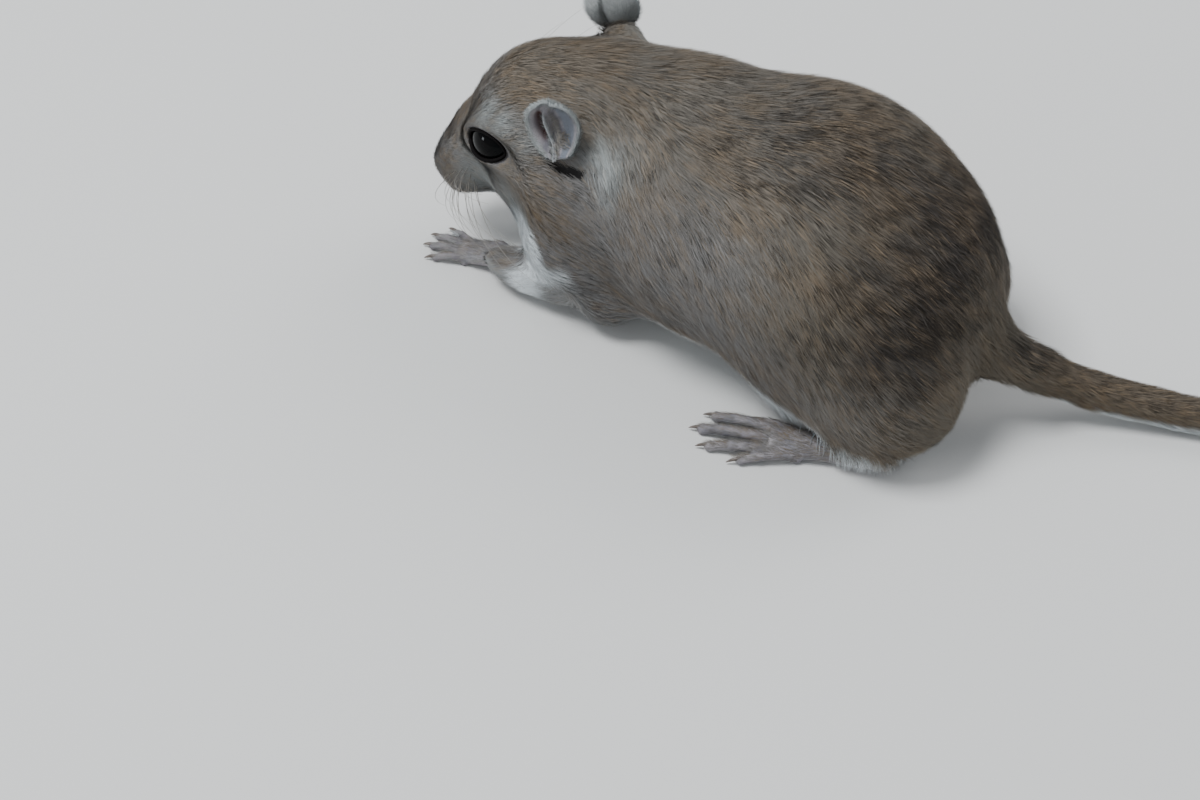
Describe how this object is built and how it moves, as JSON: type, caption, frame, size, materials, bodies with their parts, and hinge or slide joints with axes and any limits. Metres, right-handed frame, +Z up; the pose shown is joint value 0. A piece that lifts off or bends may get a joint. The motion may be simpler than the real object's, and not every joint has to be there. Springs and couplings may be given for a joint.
{
  "type": "gerbil",
  "caption": "Life-size still model of a plump Mongolian gerbil, hunched and feeding with its head lowered, its tail laid out along the floor.",
  "frame": {"origin": "middle of the bounding box in plan, on the floor that the feet and the tail rest on", "axes": "+X towards the head, +Y to the animal's left, +Z up"},
  "size_m": [0.1856, 0.0586, 0.0448],
  "materials": {
    "fur": "short agouti fur, brown with dark ticking",
    "skin": "thin skin with sparse pale hair",
    "eye_gloss": "wet black"
  },
  "bodies": {
    "root": {"head": "fur", "neck": "fur", "torso": "fur", "tail_base": "fur", "tail_middle": "fur", "tail_tip": "fur", "ear_left": "skin", "ear_right": "skin", "eye_left": "eye_gloss", "eye_right": "eye_gloss", "foreleg_left": "fur", "foreleg_right": "fur", "forepaw_left": "skin", "forepaw_right": "skin", "hindleg_left": "fur", "hindleg_right": "fur", "hindfoot_left": "skin", "hindfoot_right": "skin"}
  },
  "joints": []
}
